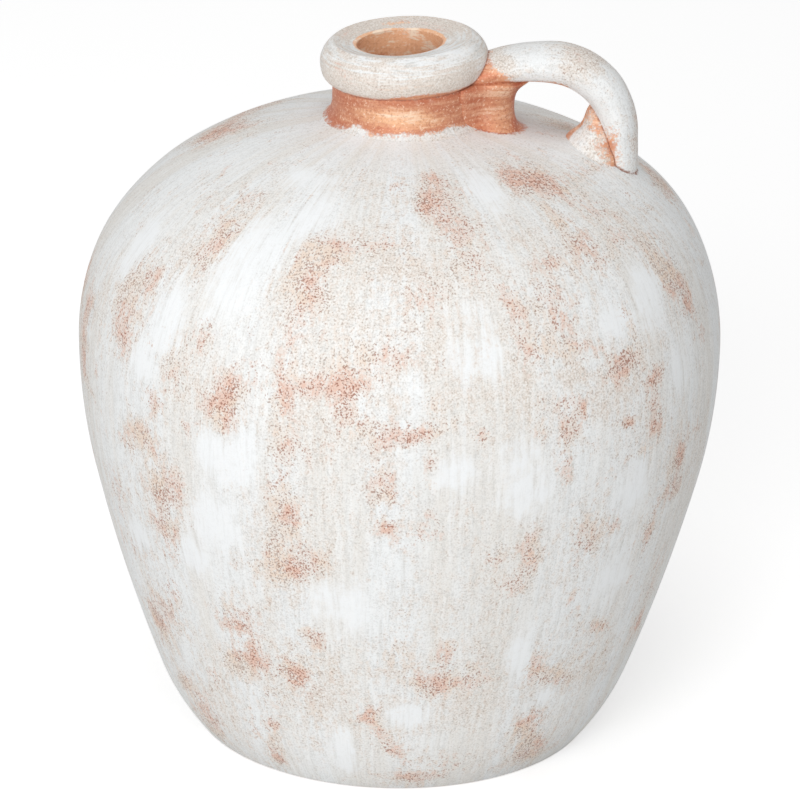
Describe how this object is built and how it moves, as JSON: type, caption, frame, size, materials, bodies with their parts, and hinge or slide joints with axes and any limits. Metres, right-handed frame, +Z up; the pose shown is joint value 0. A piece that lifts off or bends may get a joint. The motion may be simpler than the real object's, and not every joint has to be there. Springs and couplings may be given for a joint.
{
  "type": "jug",
  "caption": "Squat, flat-shouldered whitewashed clay jug with a narrow mouth, a heavy rolled rim and a strap handle from neck to shoulder.",
  "frame": {"origin": "on the jug's axis, at the floor that its foot ring stands on", "axes": "+Z up along the neck's bore, +X towards the handle"},
  "size_m": [0.28, 0.28, 0.3148],
  "materials": {
    "whitewash": "matte whitewash over terracotta, worn through in speckled patches",
    "copper_wash": "coppery terracotta paint with a slight sheen",
    "bare_clay": "bare matte terracotta"
  },
  "bodies": {
    "root": {"base_slab": "bare_clay", "lower_body": "whitewash", "upper_body": "whitewash", "neck_collar": "copper_wash", "rim_ring": "whitewash", "handle_strap": "whitewash", "upper_luting": "copper_wash", "lower_luting": "whitewash"}
  },
  "joints": []
}
